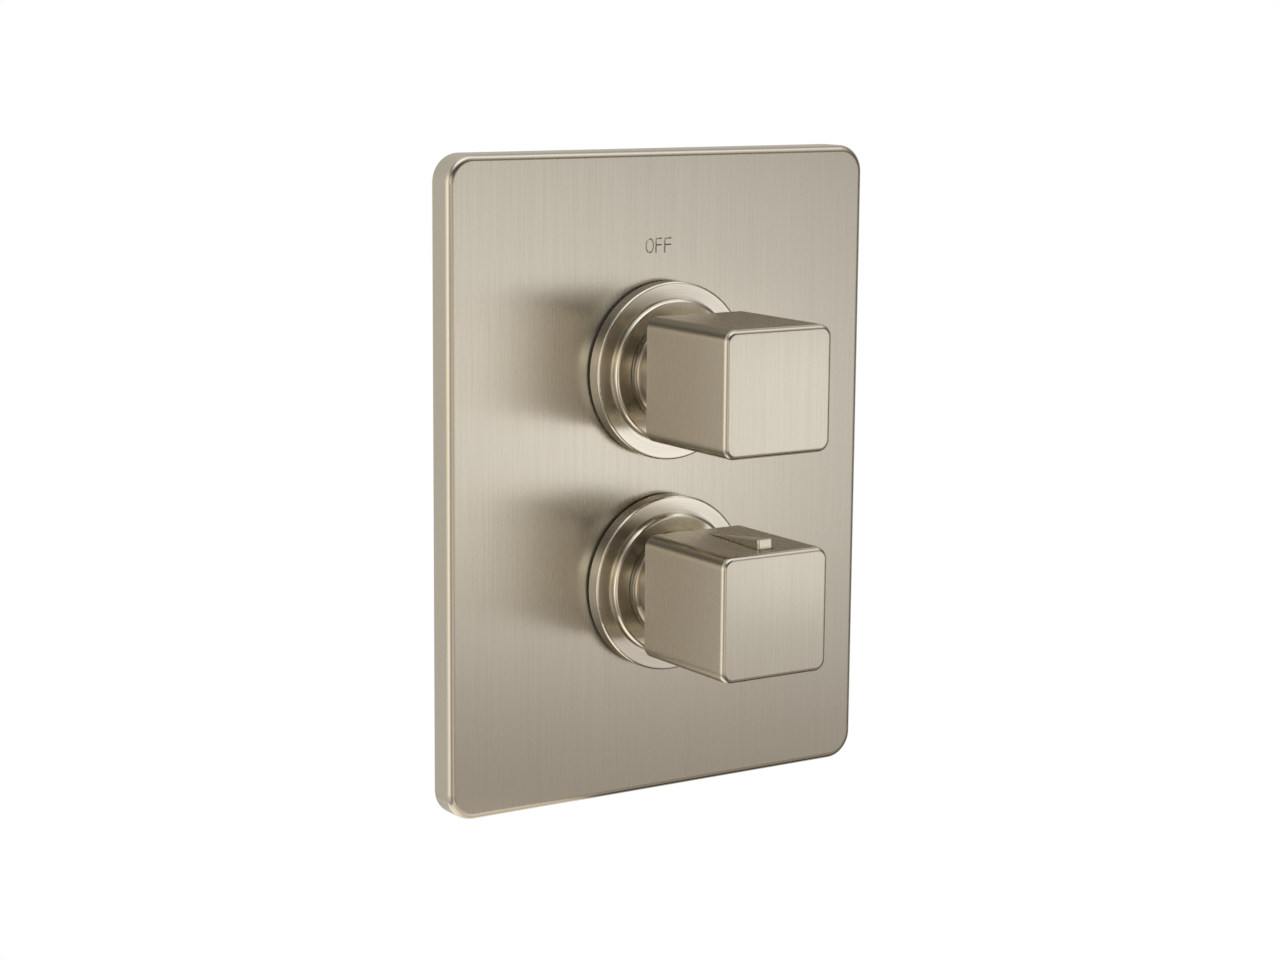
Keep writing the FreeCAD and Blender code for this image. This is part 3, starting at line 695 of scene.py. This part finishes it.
# Closed-cell polyethylene foam, cut from a sheet: grey, with a skin of small open bubbles.
GREY_FOAM = MottledFinish(
    name="grey_foam",
    pale="#8A8C8D",
    dark="#5E6061",
    roughness=0.85,
    ior=1.5,
    grain_size=0.9,
    grain_depth=0.35,
    cells=True,
)


@dataclass(frozen=True)
class Letter:
    """One etched letter, with its left edge from the word's left end and its width in millimetres.

    Its thinning, as a share of the type size, takes its strokes in.
    """

    shape: str
    left: float
    width: float
    thinning: float


@dataclass
class FacePlate:
    """The drawn nickel plate, and the word that is etched on it above the upper knob.

    The weld is a share of the type size, and corners flatter than the straight angle, in degrees,
    are left out of the letters.
    """

    letters: tuple[Letter, ...] = (
        Letter("O", 0.0, 3.2, -0.008),
        Letter("F", 3.75, 2.5, -0.016),
        Letter("F", 7.1, 2.8, -0.016),
    )
    mark_left: float = -7.5
    mark_foot: float = 72.9
    mark_height: float = 4.9
    mark_relief: float = 0.03
    mark_root: float = 0.02
    weld_share: float = 0.00001
    straight_angle: float = 1.0

    def dress(self) -> None:
        """Finish the plate with upright grain."""
        dress_node("face_plate", BRUSHED_NICKEL.material())

    def build_mark(self) -> bpy.types.Object:
        """Set the word as thin flat letters on the plate's face.

        Returns:
            The letters, as one mesh.
        """
        pieces = [self.cut_letter(letter) for letter in self.letters]
        deselect_all()
        for piece in pieces:
            piece.select_set(True)
        bpy.context.view_layer.objects.active = pieces[0]
        bpy.ops.object.join()
        mark = bpy.context.object
        mark.name = "off_mark"
        dress(mark, ETCHED_NICKEL.material())
        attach(mark, "trim")
        LOG.info("off_mark: %d letters on the plate", len(pieces))
        return mark

    def cut_letter(self, letter: Letter) -> bpy.types.Object:
        """Shape one letter from type, thicken it and stand it on the plate.

        Args:
            letter: what to cut, and where along the word.

        Returns:
            The letter, as a closed mesh.
        """
        deselect_all()
        bpy.ops.object.text_add()
        piece = bpy.context.object
        piece.data.body = letter.shape
        piece.data.offset = letter.thinning
        bpy.ops.object.convert(target="MESH")
        piece = bpy.context.object
        bpy.ops.object.mode_set(mode="EDIT")
        bpy.ops.mesh.select_all(action="SELECT")
        bpy.ops.mesh.remove_doubles(threshold=self.weld_share)
        bpy.ops.mesh.dissolve_limited(angle_limit=math.radians(self.straight_angle))
        bpy.ops.mesh.extrude_region_move(TRANSFORM_OT_translate={"value": (0, 0, 1)})
        bpy.ops.mesh.select_all(action="SELECT")
        bpy.ops.mesh.normals_make_consistent(inside=False)
        bpy.ops.object.mode_set(mode="OBJECT")
        corners = [vertex.co for vertex in piece.data.vertices]
        low = Vector([min(corner[axis] for corner in corners) for axis in range(3)])
        high = Vector([max(corner[axis] for corner in corners) for axis in range(3)])
        size = high - low
        wide = letter.width * MM / size.x
        tall = self.mark_height * MM / size.y
        thick = (self.mark_relief + self.mark_root) * MM / size.z
        left = (self.mark_left + letter.left) * MM
        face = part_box("face_plate")[0].y
        stand = Matrix.Rotation(math.pi / 2, 4, "X")
        shrink = Matrix.Diagonal((wide, tall, thick, 1))
        spot = Matrix.Translation((left, face + self.mark_root * MM, self.mark_foot * MM))
        piece.data.transform(spot @ stand @ shrink @ Matrix.Translation(-low))
        return piece


@dataclass
class WallGasket:
    """The foam frame behind the rim of the plate, open at the bottom so that water can leave."""

    strip_width: float = 5.0
    corner_radius: float = 6.7
    corner_steps: int = 8
    weep_gap: float = 24.0
    edge_radius: float = 0.9
    edge_steps: int = 3
    sharp_angle: float = 40.0
    foam_fill: float = 0.9

    def build(self) -> bpy.types.Object:
        """Cut the frame from a sheet, thicken it and soften its edges.

        Returns:
            The foam frame, which stands for the plain solid.
        """
        low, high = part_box("wall_gasket")
        middle = (low + high) / 2
        deselect_all()
        bpy.ops.mesh.primitive_plane_add(
            size=1, location=(middle.x, low.y, middle.z), rotation=(math.pi / 2, 0, 0)
        )
        gasket = bpy.context.object
        gasket.name = "foam_gasket"
        gasket.scale = (high.x - low.x, high.z - low.z, 1)
        bpy.ops.object.transform_apply(location=True, rotation=True, scale=True)
        bpy.ops.object.mode_set(mode="EDIT")
        bpy.ops.mesh.select_all(action="SELECT")
        bpy.ops.mesh.bevel(
            offset=self.corner_radius * MM,
            offset_type="OFFSET",
            segments=self.corner_steps,
            affect="VERTICES",
        )
        bpy.ops.mesh.select_all(action="SELECT")
        bpy.ops.mesh.inset(thickness=self.strip_width * MM)
        bpy.ops.mesh.delete(type="FACE")
        for side in (-1, 1):
            bpy.ops.mesh.select_all(action="SELECT")
            bpy.ops.mesh.bisect(plane_co=(side * self.weep_gap / 2 * MM, 0, 0), plane_no=(1, 0, 0))
        self.select_weep_gap(gasket)
        bpy.ops.mesh.delete(type="FACE")
        bpy.ops.mesh.select_all(action="SELECT")
        bpy.ops.mesh.extrude_region_move(TRANSFORM_OT_translate={"value": (0, high.y - low.y, 0)})
        bpy.ops.mesh.select_all(action="SELECT")
        bpy.ops.mesh.normals_make_consistent(inside=False)
        bpy.ops.mesh.select_mode(type="EDGE")
        bpy.ops.mesh.select_all(action="DESELECT")
        bpy.ops.mesh.edges_select_sharp(sharpness=math.radians(self.sharp_angle))
        bpy.ops.mesh.bevel(offset=self.edge_radius * MM, segments=self.edge_steps, affect="EDGES")
        bpy.ops.object.mode_set(mode="OBJECT")
        bpy.ops.object.shade_smooth_by_angle(angle=math.radians(self.sharp_angle))
        dress(gasket, GREY_FOAM.material())
        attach(gasket, "trim")
        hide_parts("wall_gasket")
        LOG.info("foam_gasket: frame with a weep gap of %.0f mm", self.weep_gap)
        return gasket

    def select_weep_gap(self, gasket: bpy.types.Object) -> None:
        """Select the faces of the bottom strip that lie between the two cuts.

        Args:
            gasket: the flat frame, in edit mode.
        """
        bpy.ops.mesh.select_all(action="DESELECT")
        bpy.ops.object.mode_set(mode="OBJECT")
        for patch in gasket.data.polygons:
            inside = abs(patch.center.x) < self.weep_gap / 2 * MM
            patch.select = inside and patch.center.z < 0
        bpy.ops.object.mode_set(mode="EDIT")


@dataclass
class Collar:
    """One stepped collar with what it holds: seal, snap ring, bush and the ring behind it."""

    handle: str
    ring: str
    axis_height: float

    def dress(self) -> None:
        """Finish the collar and its fittings."""
        nickel = turned_nickel(f"{self.handle}_collar_nickel", self.axis_height)
        dress_node(f"{self.handle}_collar", nickel.material())
        dress_node(f"{self.handle}_collar_seal", BLACK_RUBBER.material())
        dress_node(f"{self.handle}_collar_clip", SPRING_STEEL.material())
        dress_node(f"{self.handle}_bush", WHITE_NYLON.material())
        dress_node(f"{self.handle}_{self.ring}", WHITE_NYLON.material())


@dataclass
class Handle:
    """One square knob with its hub, screws, seal and stem adapter.

    The hub's round side, where it turns in the bush, is painted darker than the rest. This is painted
    shade, so that the gap behind the knob looks deep.
    """

    handle: str
    axis_height: float
    # Painted shade: a darker colour for the round side of the hub, behind the knob
    neck_shade: str = "#B0A899"

    def dress(self) -> None:
        """Finish the knob and what turns with it."""
        dress_node(f"{self.handle}_knob", BRUSHED_NICKEL.material())
        # The hub's round side takes the painted shade colour
        nickel = turned_nickel(f"{self.handle}_hub_nickel", self.axis_height, self.neck_shade)
        dress_node(f"{self.handle}_hub", nickel.material())
        dress_node(f"{self.handle}_hub_screws", STAINLESS_STEEL.material())
        dress_node(f"{self.handle}_set_screw", STAINLESS_STEEL.material())
        dress_node(f"{self.handle}_hub_oring", BLACK_RUBBER.material())
        brass = turned_brass(f"{self.handle}_adapter_brass", self.axis_height)
        dress_node(f"{self.handle}_stem_adapter", brass.material())


@dataclass
class OverrideButton:
    """The wedge on the lower knob, with its pin, spring and strip."""

    steel_nodes: tuple[str, ...] = ("button_pivot_pin", "button_spring", "button_tongue", "tongue_rivet")
    spring_foot: float = -27.2
    spring_keep: float = 0.62

    def dress(self) -> None:
        """Finish the wedge and its works."""
        dress_node("override_button", BRUSHED_NICKEL.material())
        for name in self.steel_nodes:
            dress_node(name, SPRING_STEEL.material())

    def free_spring(self) -> None:
        """Give the spring a mesh of its own."""
        spring = frame["nodes"]["button_spring"]
        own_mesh(spring)


@dataclass(frozen=True)
class Card:
    """A large soft card, far off in one direction, that shows in the metal as a patch of fading light.

    Its azimuth runs from straight in front of the plate to the right, and its half width from its
    middle to where it is half as bright. All three angles are in degrees.
    """

    azimuth: float
    elevation: float
    half_width: float
    strength: float
    tint: str = "#FFFFFF"

    def direction(self) -> Vector:
        """Give the direction in which the card stands.

        Returns:
            A direction of length one, from the object to the card.
        """
        turn = math.radians(self.azimuth)
        rise = math.radians(self.elevation)
        return Vector((math.sin(turn) * math.cos(rise), -math.cos(turn) * math.cos(rise), math.sin(rise)))

    def sharpness(self) -> float:
        """Give how fast the light fades away from the card's middle."""
        return math.log(2) / (1 - math.cos(math.radians(self.half_width)))

    def light(self) -> Vector:
        """Give the card's light in red, green and blue."""
        return Vector(linear(self.tint)[:3]) * self.strength


@dataclass(frozen=True)
class Lamp:
    """A soft rectangular lamp, with its place, its size and the point it faces in millimetres."""

    name: str
    place: tuple[float, float, float]
    width: float
    height: float
    brightness: float
    aim: tuple[float, float, float] = (0, 0, 0)
    tint: str = "#FFFFFF"

    def hang(self) -> bpy.types.Object:
        """Hang the lamp.

        Returns:
            The lamp, out of the camera's sight.
        """
        data = bpy.data.lights.new(self.name, "AREA")
        data.shape = "RECTANGLE"
        data.size = self.width * MM
        data.size_y = self.height * MM
        data.energy = self.brightness * math.pi * data.size * data.size_y
        data.color = linear(self.tint)[:3]
        lamp = bpy.data.objects.new(self.name, data)
        bpy.context.scene.collection.objects.link(lamp)
        lamp.location = Vector(self.place) * MM
        ahead = Vector(self.aim) - Vector(self.place)
        lamp.rotation_euler = ahead.to_track_quat("-Z", "Y").to_euler()
        lamp.visible_camera = False
        LOG.info("%s: %.3f W", self.name, data.energy)
        return lamp


@dataclass
class Studio:
    """The camera, the lamps, the cards round the object and the floor below it.

    Places and sizes are in millimetres, and the camera's angles in degrees.
    """

    camera_place: tuple[float, float, float] = (-494.377, -750.551, 149.554)
    camera_yaw: float = 33.2486
    camera_pitch: float = 9.6414
    camera_roll: float = 0.4793
    focal_pixels: float = 2756.92
    sensor_width: float = 36.0
    nearest_shown: float = 10.0
    lamps: tuple[Lamp, ...] = (
        Lamp("soft_lamp", (330, -610, -70), 350, 320, 0.2),
        Lamp("near_lamp", (135, -250, -25), 90, 110, 0.355),
        Lamp("bounce_card", (-62, -25, -140), 110, 150, 0.58, (-62, -25, 0), "#FFF6EA"),
    )
    cards: tuple[Card, ...] = (
        Card(10, -8, 8.7, 0.4, "#FFE7B4"),
        Card(22, -5, 7.1, 1.2),
        Card(33, -9, 7.1, 0.38),
        Card(46, -8, 7.1, 0.61),
        Card(33, -20, 8, 0.14, "#FFD5A6"),
        Card(33, 8, 6, 0.29, "#FFEFD2"),
        Card(40, 18, 6, 0.5, "#FFF2E4"),
        Card(38, 27, 7, 0.85, "#FFF2E4"),
        Card(46, 40, 8, 0.5),
        Card(60, 50, 15, 0.85),
        Card(14, 58, 14, 0.85),
        Card(-35, 56, 14, 1.1),
        Card(0, 80, 24, 0.75),
        Card(44, -36, 13, 0.5, "#FFF1E2"),
        Card(-18, -12, 14, 0.84, "#FFF9F4"),
        Card(-36, 7, 8, 1.0, "#FFF9EE"),
        Card(-57, -14, 11, 0.12),
        Card(-82, -18, 13, 0.4),
        Card(-85, 3, 24, 1.35, "#FFF2E1"),
        Card(-60, -66, 22, 0.7, "#FFF2E4"),
        Card(95, 5, 24, 0.25, "#FFF2E4"),
    )
    backdrop_from: float = -0.1
    backdrop_full: float = 0.5
    backdrop_level: float = 0.56
    backdrop_tint: str = "#FFFAF2"
    fill_level: float = 0.8
    floor_drop: float = 250
    floor_reach: float = 600
    floor_tint: str = "#EDEDEB"
    floor_glow: float = 0.35

    def aim_camera(self) -> bpy.types.Object:
        """Stand the camera where the photograph was taken from.

        Returns:
            The camera.
        """
        yaw = math.radians(self.camera_yaw)
        pitch = math.radians(self.camera_pitch)
        roll = math.radians(self.camera_roll)
        ahead = Vector(
            (math.sin(yaw) * math.cos(pitch), math.cos(yaw) * math.cos(pitch), -math.sin(pitch))
        )
        level = Vector((math.cos(yaw), -math.sin(yaw), 0))
        above = level.cross(ahead)
        right = level * math.cos(roll) + above * math.sin(roll)
        up = above * math.cos(roll) - level * math.sin(roll)
        data = bpy.data.cameras.new("camera")
        data.sensor_width = self.sensor_width
        data.lens = self.focal_pixels * self.sensor_width / PHOTO_WIDTH
        data.clip_start = self.nearest_shown * MM
        camera = bpy.data.objects.new("camera", data)
        bpy.context.scene.collection.objects.link(camera)
        turn = Matrix((right, up, -ahead)).transposed().to_4x4()
        camera.matrix_world = Matrix.Translation(Vector(self.camera_place) * MM) @ turn
        bpy.context.scene.camera = camera
        LOG.info("camera: lens %.1f mm", data.lens)
        return camera

    def paint_dome(self) -> bpy.types.World:
        """Paint the surroundings: plain white for the camera, backdrop and cards for the metal.

        Returns:
            The world.
        """
        world = bpy.data.worlds.new("studio")
        bpy.context.scene.world = world
        world.use_nodes = True
        tree = world.node_tree
        tree.nodes.clear()
        way = add_node(tree, "ShaderNodeTexCoord")
        parts = add_node(tree, "ShaderNodeSeparateXYZ", None, {0: way.outputs["Generated"]})
        behind = add_node(
            tree,
            "ShaderNodeMapRange",
            {
                "interpolation_type": "SMOOTHSTEP",
                "From Min": self.backdrop_from,
                "From Max": self.backdrop_full,
                "To Max": self.backdrop_level,
            },
            {"Value": parts.outputs["Y"]},
        )
        shown = add_node(
            tree,
            "ShaderNodeVectorMath",
            {"operation": "MULTIPLY", 1: linear(self.backdrop_tint)[:3]},
            {0: behind.outputs[0]},
        )
        for card in self.cards:
            towards = add_node(
                tree,
                "ShaderNodeVectorMath",
                {"operation": "DOT_PRODUCT", 1: card.direction()},
                {0: way.outputs["Generated"]},
            )
            fade = add_node(
                tree,
                "ShaderNodeMath",
                {"operation": "MULTIPLY_ADD", 1: card.sharpness(), 2: -card.sharpness()},
                {0: towards.outputs["Value"]},
            )
            glow = add_node(tree, "ShaderNodeMath", {"operation": "EXPONENT"}, {0: fade.outputs[0]})
            shown = add_node(
                tree,
                "ShaderNodeVectorMath",
                {"operation": "MULTIPLY_ADD", 1: card.light()},
                {0: glow.outputs[0], 2: shown.outputs[0]},
            )
        path = add_node(tree, "ShaderNodeLightPath")
        plain = (self.fill_level, self.fill_level, self.fill_level, 1)
        level = add_node(
            tree,
            "ShaderNodeMix",
            {"data_type": "RGBA", MixSocket.COLOUR_A: plain},
            {MixSocket.SHARE: mirror_rays(tree, path), MixSocket.COLOUR_B: shown.outputs[0]},
        )
        seen = add_node(
            tree,
            "ShaderNodeMix",
            {"data_type": "RGBA", MixSocket.COLOUR_B: linear("#FFFFFF")},
            {
                MixSocket.SHARE: path.outputs["Is Camera Ray"],
                MixSocket.COLOUR_A: level.outputs[MixResult.COLOUR],
            },
        )
        light = add_node(
            tree, "ShaderNodeBackground", {"Strength": 1.0}, {"Color": seen.outputs[MixResult.COLOUR]}
        )
        add_node(tree, "ShaderNodeOutputWorld", None, {"Surface": light.outputs[0]})
        return world

    def lay_floor(self) -> bpy.types.Object:
        """Lay the pale floor below the object.

        Returns:
            The floor.
        """
        deselect_all()
        bottom = cad_box[0][2] - self.floor_drop * MM
        bpy.ops.mesh.primitive_plane_add(size=2 * self.floor_reach * MM, location=(0, 0, bottom))
        floor = bpy.context.object
        floor.name = "floor"
        material = new_material("pale_floor")
        tree = material.node_tree
        path = add_node(tree, "ShaderNodeLightPath")
        seen = add_node(
            tree,
            "ShaderNodeMath",
            {"operation": "MAXIMUM"},
            {0: path.outputs["Is Camera Ray"], 1: mirror_rays(tree, path)},
        )
        matt = add_node(tree, "ShaderNodeBsdfDiffuse", {"Color": linear(self.floor_tint)})
        lift = add_node(
            tree, "ShaderNodeMath", {"operation": "MULTIPLY", 1: self.floor_glow}, {0: seen.outputs[0]}
        )
        glow = add_node(tree, "ShaderNodeEmission", None, {"Strength": lift.outputs[0]})
        both = add_node(tree, "ShaderNodeAddShader", None, {0: matt.outputs[0], 1: glow.outputs[0]})
        add_node(tree, "ShaderNodeOutputMaterial", None, {"Surface": both.outputs[0]})
        dress(floor, material)
        floor.visible_glossy = False
        LOG.info("floor: %.0f mm below the object", self.floor_drop)
        return floor


def axis_height(joint: str) -> float:
    """Find the height of a handle's axis in millimetres from its joint."""
    found = next(item for item in frame["joints"] if item["name"] == joint)
    return found["pos_m"][2] / MM


def main() -> None:
    """Dress the frame piece by piece, then set up the studio."""
    logging.basicConfig(level=logging.INFO, format="%(message)s")
    upper = axis_height("volume_turn")
    lower = axis_height("temperature_turn")
    plate = FacePlate()
    plate.dress()
    plate.build_mark()
    WallGasket().build()
    Collar("volume", "spacer_ring", upper).dress()
    Collar("temperature", "stop_ring", lower).dress()
    Handle("volume", upper).dress()
    Handle("temperature", lower).dress()
    button = OverrideButton()
    button.dress()
    button.free_spring()
    studio = Studio()
    studio.aim_camera()
    for lamp in studio.lamps:
        lamp.hang()
    studio.paint_dome()
    studio.lay_floor()
    bpy.context.scene.view_settings.view_transform = "Standard"


if __name__ == "__main__":
    main()
